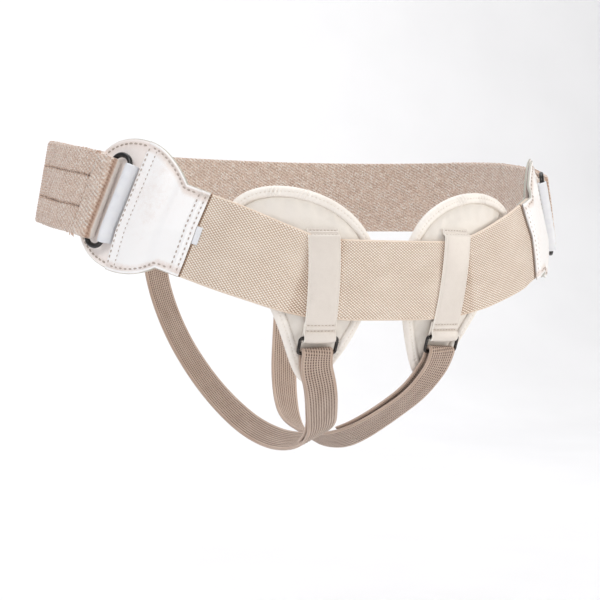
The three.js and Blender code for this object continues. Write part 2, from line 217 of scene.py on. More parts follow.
turns = np.linspace(-np.pi, np.pi, 40001)
SECTION_X = HIP_HALF_WIDTH * rounded(np.sin(turns))
SECTION_Y = -HIP_HALF_DEPTH * rounded(np.cos(turns))
SECTION_REACH = np.append(0, np.cumsum(np.hypot(np.diff(SECTION_X), np.diff(SECTION_Y))))
GIRTH = SECTION_REACH[-1]


def hip_point(s, z):
    """The place on the guide form at a distance round it and a height"""
    turn = np.mod(s + GIRTH / 2, GIRTH)
    above = np.maximum(z - WIDEST_HEIGHT, 0)
    below = np.maximum(WIDEST_HEIGHT - z, 0)
    x = np.interp(turn, SECTION_REACH, SECTION_X)
    y = np.interp(turn, SECTION_REACH, SECTION_Y)
    x = x * (1 - SIDE_LEAN * above / HIP_HALF_WIDTH)
    y = y * (1 - (FRONT_LEAN * above + BELLY_CURVE * below**2) / HIP_HALF_DEPTH)
    return np.stack(np.broadcast_arrays(x, y, z), axis=-1)


def unit(vectors):
    return vectors / np.linalg.norm(vectors, axis=-1, keepdims=True)


def on_hip(s, z, off):
    """A place that stands off the guide form"""
    along = hip_point(s + 1, z) - hip_point(s - 1, z)
    up = hip_point(s, z + 1) - hip_point(s, z - 1)
    return hip_point(s, z) + unit(np.cross(along, up)) * np.asarray(off)[..., None]


def soft_ramp(x, at, ease):
    """0 up to a place, then rising one for one, with a smooth bend"""
    return ease * np.log1p(np.exp((x - at) / ease))


def soft_step(x, at, ease):
    """0 before a place and 1 after it, with a smooth step"""
    return 1 / (1 + np.exp(-(x - at) / ease))


def bump(x, middle, half):
    """A smooth rise from 0 to 1 and back, over half on either side of the middle"""
    share = np.clip(np.abs(x - middle) / half, 0, 1)
    return 0.5 + 0.5 * np.cos(np.pi * share)


def plateau(x, low, high, ease):
    """Nearly 1 between low and high, falling away smoothly outside them"""
    return soft_step(x, low, ease) - soft_step(x, high, ease)


def front_distance(s):
    """Distance from the front middle the nearer way round, negative on the left"""
    return s - GIRTH * np.round(s / GIRTH)


def on_line(s, across, off):
    """A place on the belt's line, across being square to it"""
    side = front_distance(s)
    far = np.abs(side)
    ramp = soft_ramp(far, BEND_AT, BEND_EASE) - soft_ramp(far, LEVEL_AT, LEVEL_EASE)
    slope = soft_step(far, BEND_AT, BEND_EASE) - soft_step(far, LEVEL_AT, LEVEL_EASE)
    angle = np.arctan(RISE * slope * np.sign(side))
    z = FRONT_HEIGHT + RISE * ramp + across * np.cos(angle)
    return on_hip(s - across * np.sin(angle), z, off)


def seam_to_hip(p):
    """Distance round the form of a length from the seam along the sloping line"""
    return SEAM_AT + p / math.hypot(1, RISE)


def on_patch(p, across, off):
    return on_line(seam_to_hip(p), across, off)


def reach_along(points):
    """Length of a row of points up to each of them"""
    return np.append(0, np.cumsum(np.linalg.norm(np.diff(points, axis=0), axis=1)))


def looked_up(stops, reach, table):
    """Rows of a table at some lengths, its own rows being at the lengths in reach"""
    return np.stack([np.interp(stops, reach, column) for column in table.T], axis=-1)


# Paths of bands: points of length and level, and the direction at each


def straight(l0, n0, l1, n1, steps):
    """A straight run from one length and level to another"""
    share = np.linspace(0, 1, steps + 1)[:, None]
    start, stop = np.array([l0, n0]), np.array([l1, n1])
    at = start + (stop - start) * share
    return at, np.broadcast_to(stop - start, at.shape)


def easing(l0, n0, l1, n1, steps, share=0.5):
    """A run from one level to another that starts and ends level"""
    turn = l0 + (l1 - l0) * share
    a, b, c, d = np.array([[l0, n0], [turn, n0], [turn, n1], [l1, n1]])
    t = np.linspace(0.001, 0.999, steps + 1)[:, None]
    at = (1 - t) ** 3 * a + 3 * (1 - t) ** 2 * t * b + 3 * (1 - t) * t**2 * c + t**3 * d
    way = (1 - t) ** 2 * (b - a) + 2 * (1 - t) * t * (c - b) + t**2 * (d - c)
    return at, way


def half_turn(l, n, radius, start, steps):
    """Half a circle round a bar, from the start angle on"""
    angle = start - np.linspace(0, np.pi, steps + 1)
    at = np.stack([l + radius * np.cos(angle), n + radius * np.sin(angle)], axis=1)
    return at, np.stack([np.sin(angle), -np.cos(angle)], axis=1)


def joined(*curves):
    """One path from runs that meet, without their doubled points"""
    at = np.concatenate([c[0][min(i, 1) :] for i, c in enumerate(curves)])
    way = unit(np.concatenate([c[1][min(i, 1) :] for i, c in enumerate(curves)]))
    return at, way


# Meshes


def linked(name, data):
    """An object of the scene with the given data"""
    made = bpy.data.objects.new(name, data)
    bpy.context.scene.collection.objects.link(made)
    return made


def store_value(mesh, name, values):
    mesh.attributes.new(name, "FLOAT", "POINT").data.foreach_set("value", values)


def make_object(name, points, faces, material, lay, inset=None):
    """A smooth mesh in metres whose faces look outwards. lay is kept for each point: the
    place along, across and through the cloth. inset is how far in from its edge it is."""
    points = points.reshape(-1, 3)
    corners = [points[[f[k] for f in faces]] for k in range(3)]
    volume = np.einsum("ij,ij->", corners[0], np.cross(corners[1], corners[2]))
    if volume < 0:
        faces = [f[::-1] for f in faces]
    mesh = bpy.data.meshes.new(name)
    mesh.from_pydata((points * MM).tolist(), [], faces)
    mesh.shade_smooth()
    stored = mesh.attributes.new("lay", "FLOAT_VECTOR", "POINT")
    stored.data.foreach_set("vector", np.asarray(lay, dtype=np.float32).ravel())
    if inset is not None:
        store_value(mesh, "inset", inset.ravel())
    mesh.materials.append(material)
    made = linked(name, mesh)
    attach(made, "root")
    return made


def grid_faces(rows, columns, rows_closed=False):
    """Quads over rows of points that each run round a closed loop of columns"""
    row = np.arange(rows if rows_closed else rows - 1)[:, None]
    column = np.arange(columns)[None, :]
    below, beside = (row + 1) % rows, (column + 1) % columns
    here, after = row * columns, below * columns
    quads = np.stack([here + column, here + beside, after + beside, after + column], axis=-1)
    return quads.reshape(-1, 4).tolist()


def band(name, path, width, thick, place, material, steps, relief=None):
    """A band of cloth with rounded edges: a path with thickness, put in place. width is a
    number or a function of the path's length. relief gives how far a face stands proud at a
    length along, a place across and a side."""
    at, way = path
    ends = np.radians([80, 50, 25])
    radius = thick / 2
    before = at[0] - way[0] * (np.sin(ends) * radius)[:, None]
    after = at[-1] + way[-1] * (np.sin(ends[::-1]) * radius)[:, None]
    at = np.concatenate([before, at, after])
    way = np.concatenate([np.repeat(way[:1], 3, 0), way, np.repeat(way[-1:], 3, 0)])
    squeeze = np.concatenate([np.cos(ends), np.ones(len(at) - 6), np.cos(ends[::-1])])
    reach = reach_along(at)

    across = np.linspace(-1, 1, steps + 1)
    bend = np.linspace(np.pi / 2, -np.pi / 2, 5)[1:-1]
    flat = np.zeros(steps + 1)
    share = np.concatenate([across, [1, 1, 1], across[::-1], [-1, -1, -1]])
    edge = np.concatenate([flat, np.cos(bend), flat, -np.cos(bend)])
    high = np.concatenate([flat + 1, np.sin(bend), flat - 1, np.sin(bend[::-1])])
    face = np.concatenate([flat + 1, [0.5, 0, -0.5], flat - 1, [-0.5, 0, 0.5]])

    wide = width(at[:, 0]) if callable(width) else np.full(len(at), width)
    half = (wide / 2 - radius)[:, None]
    q = share * half + edge * radius
    h = high * radius * squeeze[:, None]
    if relief is not None:
        whole = np.abs(face) == 1
        lift = relief(reach[:, None], q, np.broadcast_to(face, q.shape))
        h = h + np.where(whole, np.sign(face) * lift * squeeze[:, None], 0)
    normal = np.stack([-way[:, 1], way[:, 0]], axis=1)
    l = at[:, :1] + normal[:, :1] * h
    n = at[:, 1:] + normal[:, 1:] * h
    points = place(l, q, n)
    rows, columns = q.shape
    lay = np.stack(np.broadcast_arrays(reach[:, None], q, face), axis=-1)
    faces = grid_faces(rows, columns)
    faces.append(list(range(columns)))
    faces.append([(rows - 1) * columns + i for i in range(columns)][::-1])
    inset = half + radius - np.abs(q)
    return make_object(name, points, faces, material, lay, inset)


def mirrored(place):
    """The same place on the other side of the belt"""

    def other(l, across, n):
        return place(l, across, n) * np.array([-1, 1, 1])

    return other


def wire_loop(name, outline, half_across, half_thick, sides, place, material, relief=None):
    """A closed ring of wire or piping round an outline of points and outward directions"""
    at, out = outline
    angle = np.linspace(0, 2 * np.pi, sides, endpoint=False)
    reach = reach_along(at)
    swell = 1 if relief is None else 1 + relief(reach[:, None], angle)
    across = half_across * np.cos(angle) * swell
    high = half_thick * np.sin(angle) * swell + np.zeros((len(at), 1))
    x = at[:, :1] + out[:, :1] * across
    y = at[:, 1:] + out[:, 1:] * across
    points = place(x, y, high)
    lay = np.stack(np.broadcast_arrays(reach[:, None], angle * half_across, high), axis=-1)
    faces = grid_faces(len(at), sides, rows_closed=True)
    return make_object(name, points, faces, material, lay)


def rounded_rectangle(width, height, corner, step=0.6):
    """Middle line of a wire bent to a rectangle with round corners, evenly stepped"""
    x, y = width / 2 - corner, height / 2 - corner
    middles = np.repeat([(x, y), (-x, y), (-x, -y), (x, -y)], 9, axis=0)
    angle = (np.arange(4)[:, None] * np.pi / 2 + np.linspace(0, np.pi / 2, 9)).ravel()
    corners = corner * np.stack([np.cos(angle), np.sin(angle)], axis=1)
    return even_outline(middles + corners, step)


def even_outline(points, step):
    """The outline evenly stepped, with the direction that looks out of it at each point"""
    closed = np.concatenate([points, points[:1]])
    reach = reach_along(closed)
    stops = np.linspace(0, reach[-1], round(reach[-1] / step), endpoint=False)
    at = looked_up(stops, reach, closed)
    along = unit(np.roll(at, -1, axis=0) - np.roll(at, 1, axis=0))
    return at, np.stack([along[:, 1], -along[:, 0]], axis=1)


# Sewing


def stitch_rows(name, rows, material, dash=1.9, pitch=3.1, thick=0.42):
    """One mesh of all the stitches along some rows. A row is its points on the cloth and the
    way that the cloth looks at each."""
    shape = np.array([0.45, 0.9, 1, 0.9, 0.45])
    arch = np.array([-0.22, 0.02, 0.1, 0.02, -0.22])
    turn = np.linspace(0, 2 * np.pi, 6, endpoint=False)
    points, lays = [], []
    for at, out in rows:
        reach = reach_along(at)
        count = max(1, round(reach[-1] / pitch))
        middles = (np.arange(count) + 0.5) * reach[-1] / count
        stops = middles[:, None] + np.linspace(-0.5, 0.5, 5) * dash
        along = unit(looked_up(stops + 0.4, reach, at) - looked_up(stops - 0.4, reach, at))
        up = looked_up(stops, reach, out)[:, :, None, :]
        side = np.cross(along[:, :, None, :], up)
        ring = side * np.cos(turn)[:, None] + up * (0.75 * np.sin(turn)[:, None])
        wide = (thick * shape)[None, :, None, None]
        lift = up * arch[None, :, None, None]
        middle = looked_up(stops, reach, at)[:, :, None, :]
        points.append((middle + ring * wide + lift).reshape(-1, 3))
        lay = np.broadcast_arrays(stops[:, :, None], turn * thick, 0.0)
        lays.append(np.stack(lay, axis=-1).reshape(-1, 3))
    points, lays = np.concatenate(points), np.concatenate(lays)
    one = grid_faces(5, 6) + [[0, 1, 2, 3, 4, 5], [29, 28, 27, 26, 25, 24]]
    faces = [[k + i for i in f] for k in range(0, len(points), 30) for f in one]
    return make_object(name, points, faces, material, lays)


def row_on(place, l, q, off):
    """A stitch row's points and outward directions from places along, across and outwards"""
    l, q, off = (np.asarray(v, dtype=float) for v in np.broadcast_arrays(l, q, off))
    at = place(l, q, off)
    return at, unit(place(l, q, off + 0.5) - at)


def many(low, high, count=60):
    """Evenly spaced places for a row"""
    return np.linspace(low, high, count)


# Materials


def linear(code):
    """Shader colour of a hex code"""
    parts = [int(code[i : i + 2], 16) / 255 for i in (1, 3, 5)]
    return [c / 12.92 if c <= 0.04045 else ((c + 0.055) / 1.055) ** 2.4 for c in parts] + [1]


def add_node(tree, kind, inputs):
    """A shader node whose inputs are set to fields, other nodes' sockets or constants"""
    node = tree.nodes.new("ShaderNode" + kind)
    for key, value in inputs.items():
        source = value.socket if isinstance(value, Field) else value
        if isinstance(source, bpy.types.NodeSocket):
            tree.links.new(source, node.inputs[key])
        else:
            node.inputs[key].default_value = source
    return node


class Field:
    """A number that varies over a surface, worked out by shader nodes"""

    def __init__(self, tree, socket):
        self.tree = tree
        self.socket = socket

    def do(self, operation, other=0):
        node = add_node(self.tree, "Math", {0: self, 1: other})
        node.operation = operation
        return Field(self.tree, node.outputs[0])

    def __add__(self, other):
        return self.do("ADD", other)

    def __sub__(self, other):
        return self.do("SUBTRACT", other)

    def __mul__(self, other):
        return self.do("MULTIPLY", other)

    def __truediv__(self, other):
        return self.do("DIVIDE", other)

    def size(self):
        return self.do("ABSOLUTE")

    def wave(self):
        """1 at whole numbers, 0 half way between them"""
        return (self * (2 * math.pi)).do("COSINE") * 0.5 + 0.5

    def between(self, low, high):
        """A smooth step from 0 at low to 1 at high"""
        ends = {"Value": self, "From Min": low, "From Max": high}
        node = add_node(self.tree, "MapRange", ends)
        node.interpolation_type = "SMOOTHSTEP"
        return Field(self.tree, node.outputs["Result"])


class Finish:
    """A material that knows the lie of the cloth: along, across and inset in millimetres"""

    def __init__(self, name, roughness, **settings):
        self.data = bpy.data.materials.new(name)
        self.data.use_nodes = True
        self.tree = self.data.node_tree
        self.shader = self.tree.nodes["Principled BSDF"].inputs
        self.shader["Roughness"].default_value = roughness
        for key, value in settings.items():
            self.shader[key.replace("_", " ")].default_value = value
        self.lay = self.stored("lay", "Vector")
        split = add_node(self.tree, "SeparateXYZ", {0: self.lay})
        self.along, self.across = (Field(self.tree, s) for s in split.outputs[:2])
        self.inset = Field(self.tree, self.stored("inset", "Fac"))
        self.place = add_node(self.tree, "TexCoord", {}).outputs["Object"]

    def stored(self, name, output):
        node = add_node(self.tree, "Attribute", {})
        node.attribute_name = name
        return node.outputs[output]

    def texture(self, kind, scale, vector, **others):
        """A texture over the lay or another vector, scale being cycles a unit each way"""
        mapping = add_node(self.tree, "Mapping", {"Vector": vector or self.lay, "Scale": scale})
        inputs = {"Vector": mapping.outputs["Vector"], "Scale": 1, **others}
        return add_node(self.tree, kind, inputs)

    def noise(self, scale, vector=None, detail=3):
        """Cloudy variation from 0 to 1"""
        node = self.texture("TexNoise", scale, vector, Detail=detail)
        return Field(self.tree, node.outputs["Fac"])

    def cells(self, scale, vector=None):
        """Distance from the middles of small cells"""
        node = self.texture("TexVoronoi", scale, vector)
        return Field(self.tree, node.outputs["Distance"])

    def spots(self, cycles, detail=3):
        """Variation in space, the same size on every piece, in cycles a millimetre"""
        return self.noise((cycles / MM,) * 3, self.place, detail)

    def colour(self, share, *stops):
        ramp = add_node(self.tree, "ValToRGB", {"Fac": share})
        elements = ramp.color_ramp.elements
        while len(elements) < len(stops):
            elements.new(0.5)
        for element, (position, code) in zip(elements, stops):
            element.position = position
            element.color = linear(code)
        self.tree.links.new(ramp.outputs["Color"], self.shader["Base Color"])

    def roughness(self, field):
        self.tree.links.new(field.socket, self.shader["Roughness"])

    def bump(self, height, millimetres):
        node = add_node(self.tree, "Bump", {"Height": height, "Distance": millimetres * MM})
        self.tree.links.new(node.outputs["Normal"], self.shader["Normal"])


def elastic_finish():
    """Woven elastic: a lattice of raised light stitches between plain selvedges, with painted shadow
    beside and under the straps that cross it, and darker along the seams"""
    made = Finish("elastic", 0.82, Sheen_Weight=0.25, Sheen_Roughness=0.5)
    columns, courses = made.along / WEAVE_ALONG, made.across / WEAVE_ACROSS
    rising = (columns + courses).wave().between(0.02, 0.6)
    falling = (columns - courses).wave().between(-0.1, 0.45)
    body = made.inset.between(0.7, 1.3)
    ribs = (made.along / 0.45).wave() * 0.35
    thread = rising * falling * body + (body * -1 + 1) * (ribs + 0.4)
    tint = made.noise((0.05, 0.09, 1)) * 0.2 + made.noise((0.9, 0.9, 1)) * 0.07
    from_middle = (made.along - (BELT_THICK / 2 + SEAM_AT + SEAM_LAP)).size()
    # painted shadow: the elastic is darker beside and under the straps that cross it
    shade = (from_middle - PAD_STRAP_AT).size().between(14.5, 10.5) * 0.13
    edge = (from_middle - (SEAM_AT - 0.2)).size().between(1.0, 0.4) * 0.55
    made.colour(
        thread * 0.6 + tint - shade - edge + 0.05,
        (0.0, "#8d705a"), (0.1, "#b2937b"), (0.32, "#dcc2ab"), (0.58, "#f5e4d3"), (0.88, "#fefaf2"),
    )
    made.bump(thread + made.noise((2.2, 2.2, 1)) * 0.3, 0.26)
    return made.data


def pile_finish():
    """Brushed loop pile: small curls in slanting rows. Past the fold over the ring it is smooth and
    painted light, standing in for light in the shaded inside of the ring, edged by painted shade
    """
    made = Finish("loop_pile", 0.95, Sheen_Weight=0.5, Sheen_Roughness=0.6)
    curls = made.cells((1.15, 0.9, 1))
    fine = made.cells((2.3, 2.3, 1))
    twill = ((made.along * 0.55 + made.across) / 2.1).wave()
    clouds = made.noise((0.16, 0.16, 1), detail=4)
    # the band past the fold is left smooth and painted light, standing in for light in the ring's
    # shaded inside
    smooth_painted_light = Field(made.tree, made.stored("smooth_painted_light", "Fac"))
    piled = smooth_painted_light * -1 + 1
    share = curls * 0.54 + fine * 0.28 + twill * 0.26 + clouds * 0.34
    # painted shade: a dark line where the pile meets the painted light band past the fold
    turned = smooth_painted_light.between(0.02, 0.3) * smooth_painted_light.between(0.97, 0.6) * 0.5
    made.colour(
        share * piled + smooth_painted_light * 0.97 - turned,
        (0.2, "#a27d67"), (0.44, "#c8a58f"), (0.64, "#dcbfab"), (0.84, "#efdaca"), (0.95, "#f8eee4"),
    )
    made.bump((curls * 0.9 + fine * 0.4 + twill * 0.35 + clouds * 0.4) * piled, 0.9)
    return made.data


def curl_finish():
    """Single loops of the pile, lighter and darker at random"""
    made = Finish("pile_curls", 0.9, Sheen_Weight=0.6, Sheen_Roughness=0.5)
    made.colour(
        made.spots(0.35) * 0.7 + made.spots(2.2) * 0.4,
        (0.25, "#a27c66"), (0.5, "#cfad97"), (0.8, "#f3dfd0"),
    )
    made.bump(made.spots(4), 0.1)
    return made.data


def leatherette(name, shade, light, deep, roughness, grain=1.0, cut=None, hem_shade=0):
    """Coated leatherette: fine pebbled grain, soft wear and faint clouding. With a colour for
    its cut edge, the edge shows as a thin line, and painted shade, patchy with the wear, darkens the
    hem inside it."""
    made = Finish(name, roughness, Coat_Weight=0.12, Coat_Roughness=0.3)
    pebbles = made.cells((1.9 / MM,) * 3, made.place)
    clouds = made.spots(0.035, detail=2)
    worn = made.spots(0.3, detail=2)
    share = clouds * 0.5 + worn * 0.2 + pebbles * 0.12 + 0.12
    if cut:
        # painted shade: the puffed face darkens towards the stitched hem, patchy with the wear noise,
        # and the last argument sets its strength
        hem = made.inset.between(8, 3.6) * made.inset.between(1.2, 2.2)
        share = share - hem * worn * hem_shade - made.inset.between(0.8, 0.3) * 0.6
    made.colour(share, (0.0, cut or deep), (0.25, deep), (0.5, shade), (0.8, light))
    made.roughness(worn * 0.12 + pebbles * 0.08 + (roughness - 0.1))
    made.bump(pebbles * 0.6 + made.spots(1.6, detail=2) * 0.4, 0.06 * grain)
    return made.data


def ribbon_finish():
    """Satin ribbon: close weft lines across it and a cool sheen"""
    made = Finish("ribbon", 0.34, Sheen_Weight=0.3, Sheen_Roughness=0.3)
    lines = (made.across / 0.42).wave()
    clouds = made.noise((0.12, 0.2, 1))
    made.colour(clouds * 0.7 + lines * 0.2, (0.2, "#eceef5"), (0.5, "#fafbfe"), (0.8, "#ffffff"))
    made.bump(lines + made.noise((1.2, 5, 1)) * 0.9, 0.12)
    return made.data


def ribbed_finish():
    """Ribbed elastic: light lengthwise ribs, with rows of small dark holes in the grooves"""
    made = Finish("ribbed_elastic", 0.85, Sheen_Weight=0.25, Sheen_Roughness=0.5)
    body = made.inset.between(1.2, 2.0)
    rib = (made.across / RIB_PITCH).wave()
    groove = rib.between(0.62, 0.2) * body
    holes = (made.along / PICK_PITCH + made.across * 0.06).wave().between(0.3, 0.75) * groove
    twist = (made.along / PICK_PITCH + made.across * 0.5).wave() * rib
    tint = made.noise((0.06, 0.2, 1)) * 0.3
    made.colour(
        rib * 0.1 + tint + twist * 0.08 - groove * 0.06 - holes * 0.5 + 0.34,
        (0.0, "#604c3e"), (0.2, "#876f5f"), (0.5, "#b69d8c"), (0.85, "#dac8ba"),
    )
    made.bump(twist * 0.5 - holes * 1.8 + made.noise((2, 3, 1)) * 0.4, 0.3)
    return made.data


def metal_finish(name, dark, light, roughness, metallic):
    """Coated wire: faint streaks along it and worn, lighter patches"""
    made = Finish(name, roughness, Metallic=metallic, Coat_Weight=0.25, Coat_Roughness=0.2)
    streaks = made.noise((0.3, 3, 3))
    worn = made.spots(0.5)
    made.colour(worn * 0.7 + streaks * 0.3, (0.35, dark), (0.75, light))
    made.roughness(streaks * 0.25 + (roughness - 0.1))
    made.bump(streaks + made.spots(3) * 0.5, 0.03)
    return made.data


def thread_finish(name, light, dark):
    """Twisted sewing thread"""
    made = Finish(name, 0.6, Sheen_Weight=0.2)
    twist = ((made.along + made.across * 0.5) / 0.3).wave()
    made.colour(twist * 0.6 + made.spots(0.4) * 0.4, (0.2, dark), (0.8, light))
    made.bump(twist, 0.06)
    return made.data


ELASTIC = elastic_finish()
PILE = pile_finish()
CURL = curl_finish()
# the last number of each patch leatherette is the strength of its painted hem shade
WHITE = leatherette("patch_panel", "#fdfbfa", "#ffffff", "#ecdfd8", 0.42, 1.0, "#bebcb2", 0.55)
BASE = leatherette("patch_base", "#fdf4ef", "#fffaf6", "#f6e9e2", 0.46, 1.0, "#b5b4a8", 0.4)
RIBBON = ribbon_finish()
COVER = leatherette("pad_cover", "#e9e2d9", "#efe8e0", "#dfd6cb", 0.42, 1.2)
BINDING = leatherette("binding", "#f4ede5", "#faf5ee", "#ebe2d7", 0.38)
LEATHER = leatherette("strap_leather", "#dfd6cd", "#e9e1d8", "#d2c7bc", 0.32, 0.8, "#f7f1e8")
RIBBED = ribbed_finish()
BLACK = metal_finish("black_metal", "#0d0c0c", "#2b2826", 0.3, 0.2)
GUNMETAL = metal_finish("gunmetal", "#262423", "#57524f", 0.24, 0.9)
DARK_THREAD = thread_finish("dark_thread", "#a08a7c", "#6b574b")
GREY_THREAD = thread_finish("grey_thread", "#d0c3b9", "#ac9b91")
TAUPE_THREAD = thread_finish("taupe_thread", "#d6c9bc", "#ad9e91")
PALE_THREAD = thread_finish("pale_thread", "#f7efe4", "#d8cabb")


# Front elastic


def belt_width(s):
    return BELT_FRONT_WIDTH + (BELT_WIDTH - BELT_FRONT_WIDTH) * soft_step(np.abs(s), BELT_WIDENS_AT, 9)


def belt_lift(s):
    """How far the elastic stands off the form where no strap holds it down"""
    return sum(high * plateau(np.abs(s), *stretch) for high, *stretch in BELT_LIFTS)


def make_front_belt():
    end, level = SEAM_AT + SEAM_LAP, BELT_THICK / 2
    path = joined(straight(-end, level, end, level, 200))
    waves = lambda l, q, face: 0.12 * np.sin(l / 9.7 + q / 14) * np.sin(q / 6.1 + l / 31)
    place = lambda l, q, n: on_line(l, q, n + belt_lift(l))
    made = band("elastic_front", path, belt_width, BELT_THICK, place, ELASTIC, 40, waves)
    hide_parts("front_belt")


# Side patches


def patch_half_height(p):
    neck = BELT_WIDTH / 2
    flare = np.clip((p - NECK_LENGTH) / (LOBE_FULL_AT - NECK_LENGTH), 0, 1)
    growing = neck + (LOBE_HALF_HEIGHT - neck) * np.sin(flare * np.pi / 2) ** 0.8
    closing = np.clip((p - LOBE_FULL_AT) / (PATCH_LENGTH - LOBE_FULL_AT), 0, 1)
    round_end = (1 - closing**LOBE_ROUNDNESS) ** (1 / LOBE_ROUNDNESS)
    return np.where(p < LOBE_FULL_AT, growing, LOBE_HALF_HEIGHT * round_end)


def on_raised_patch(p, across, off):
    return on_patch(p, across + LOBE_RISE * soft_step(p, LOBE_RISES_AT, 6), off)


def on_ring_line(p, across, off):
    return on_patch(p, across + RING_RISE, off)


def patch_width(p):
    return 2 * np.maximum(patch_half_height(p), PATCH_END_HALF)


def panel_face(p, q):
    """How far the panel's outer face stands above its flat thickness: its puff, a piping and a
    ridge at the seam, and stitch rows and a hem that draw it in"""
    puff = np.clip((p - 16) / 25, 0, 1)
    share = np.clip(np.abs(q) / patch_half_height(p), 0, 1)
    high = 1.9 * np.sin(np.pi * puff) * (1 - share**4)
    ridge = 0.75 * bump(p, 4.0, 1.9)
    piping = 0.45 * bump(p, 0.4, 1.3)
    grooves = 0.4 * (bump(p, SEAM_ROWS[0], 0.7) + bump(p, SEAM_ROWS[1], 0.8))
    hem = 0.45 * bump(patch_half_height(p) - np.abs(q), HEM_INSET, 1.2)
    rows = 0.3 * (bump(p, END_ROWS[0], 0.9) + bump(p, END_ROWS[1], 0.7))
    return high + ridge + piping - grooves - hem - rows


def hem_line(inset):
    """Half of the patch's outline drawn in by an inset: distance from the seam and height"""
    p = np.concatenate([many(0, 70, 160), PATCH_LENGTH - 14 * many(1, 0, 80) ** 2])
    h = patch_half_height(p)
    way = unit(np.stack([np.gradient(p), np.gradient(h)], axis=-1))
    x, y = p + way[:, 1] * inset, h - way[:, 0] * inset
    ahead = x >= np.maximum.accumulate(np.where(p < LOBE_FULL_AT, x, -1)) - 0.01
    return x[ahead], y[ahead]


def panel_levels():
    half = PANEL_THICK / 2
    high, over_belt = BELT_THICK + GAP + half, SEAM_LAP + 1.5
    return joined(
        straight(half, high, over_belt, high, 26),
        easing(over_belt, high, PANEL_SETTLED_AT, half, 14),
        straight(PANEL_SETTLED_AT, half, PANEL_LENGTH - half, half, 40),
    )


PANEL_PATH = panel_levels()
PANEL_REACH = reach_along(PANEL_PATH[0]) + PANEL_THICK / 2


def panel_relief(l, q, face):
    p = np.interp(l, PANEL_REACH, PANEL_PATH[0][:, 0])
    return np.where(face > 0.9, panel_face(p, q), 0)


def panel_top(p, q):
    """Level of the panel's outer face"""
    level = np.interp(p, PANEL_PATH[0][:, 0], PANEL_PATH[0][:, 1])
    return level + PANEL_THICK / 2 + panel_face(p, q)


def make_patch(side, turn):
    place = turn(on_raised_patch)
    level = -BASE_CLEAR - BASE_THICK / 2
    base_path = joined(
        straight(2, level, PATCH_LENGTH - 8, level, 70),
        straight(PATCH_LENGTH - 8, level, PATCH_LENGTH - BASE_THICK / 2, level, 20),
    )
    hem = lambda l, q, face: -0.2 * bump(patch_half_height(l + 1.3) - np.abs(q), HEM_INSET, 1)
    base = band(f"patch_back_{side}", base_path, patch_width, BASE_THICK, place, BASE, 80, hem)
    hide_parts(f"patch_base_{side}")

    panel = band(
        f"patch_front_{side}", PANEL_PATH, patch_width, PANEL_THICK, place, WHITE, 120, panel_relief
    )
    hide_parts(f"patch_panel_{side}")

    def panel_row(p, q):
        return row_on(place, p, q, panel_top(p, q))

    p, h = hem_line(HEM_INSET)
    front, back = (p > 7.5) & (p < 44), p > 48
    rows = [panel_row(p[front], up * h[front]) for up in (1, -1)]
    rows += [panel_row(at, many(-22.5, 22.5)) for at in SEAM_ROWS]
    seams = stitch_rows(f"patch_stitches_{side}", rows, GREY_THREAD, 2.1, 3.1, 0.6)
    across = many(-35, 35)
    inner = [panel_row(END_ROWS[0], across)]
    inner_row = stitch_rows(f"patch_row_{side}", inner, GREY_THREAD, 1.7, 2.8)
    rows = [row_on(place, p[back], up * h[back], 0.12 - BASE_CLEAR) for up in (1, -1)]
    rows.append(panel_row(END_ROWS[1], across))
    hems = stitch_rows(f"patch_hem_{side}", rows, TAUPE_THREAD, 2.1, 3.1, 0.6)


def make_side_ring(side, turn):
    outline = rounded_rectangle(2 * RING_BAR, RING_LENGTH - RING_WIRE, RING_CORNER)
    place = turn(lambda x, y, n: on_ring_line(RING_AT + x, y, RING_OFF + n))
    half = RING_WIRE / 2
    made = wire_loop(f"ring_wire_{side}", outline, half, half, 16, place, BLACK)
    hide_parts(f"side_ring_{side}")


def make_ribbon(side, turn):
    place = turn(on_ring_line)
    bar = RING_AT - RING_BAR
    radius = (RING_WIRE + RIBBON_THICK) / 2 + 0.35
    low = RIBBON_THICK / 2
    high = low + RIBBON_THICK + GAP
    path = joined(
        easing(RIBBON_START, high, bar, RING_OFF + radius, 10, 0.1),
        half_turn(bar, RING_OFF, radius, np.pi / 2, 14),
        easing(bar, RING_OFF - radius, RIBBON_START, low, 10, 0.6),
    )
    ripples = lambda l, q, face: 0.1 * np.sin(q * 0.9 + 2 * np.sin(q * 0.23)) * np.sin(l / 3)
    made = band(
        f"ribbon_loop_{side}", path, RIBBON_LENGTH, RIBBON_THICK, place, RIBBON, 80, ripples
    )
    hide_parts(f"ring_ribbon_{side}")
    level = high + RIBBON_THICK / 2
    rows = [
        row_on(place, RIBBON_START + at, many(-22, 22), level + lift)
        for at, lift in ((0.7, 0.5), (1.9, 1.7))
    ]
    sewn = stitch_rows(f"ribbon_stitches_{side}", rows, PALE_THREAD, 1.3, 2, 0.3)


# Strap round the back


BAR_AT = seam_to_hip(RING_AT + RING_BAR)


def from_bar(s):
    """Distance round the form from the nearer ring's outer bar"""
    return np.abs(front_distance(s)) - BAR_AT


def strap_width(s):
    return STRAP_FOLD_WIDTH + (STRAP_WIDTH - STRAP_FOLD_WIDTH) * soft_step(from_bar(s), 12, 3)


def on_strap(s, across, off):
    return on_line(s, across + RING_RISE * (1 - soft_step(from_bar(s), 26, 6)), off)


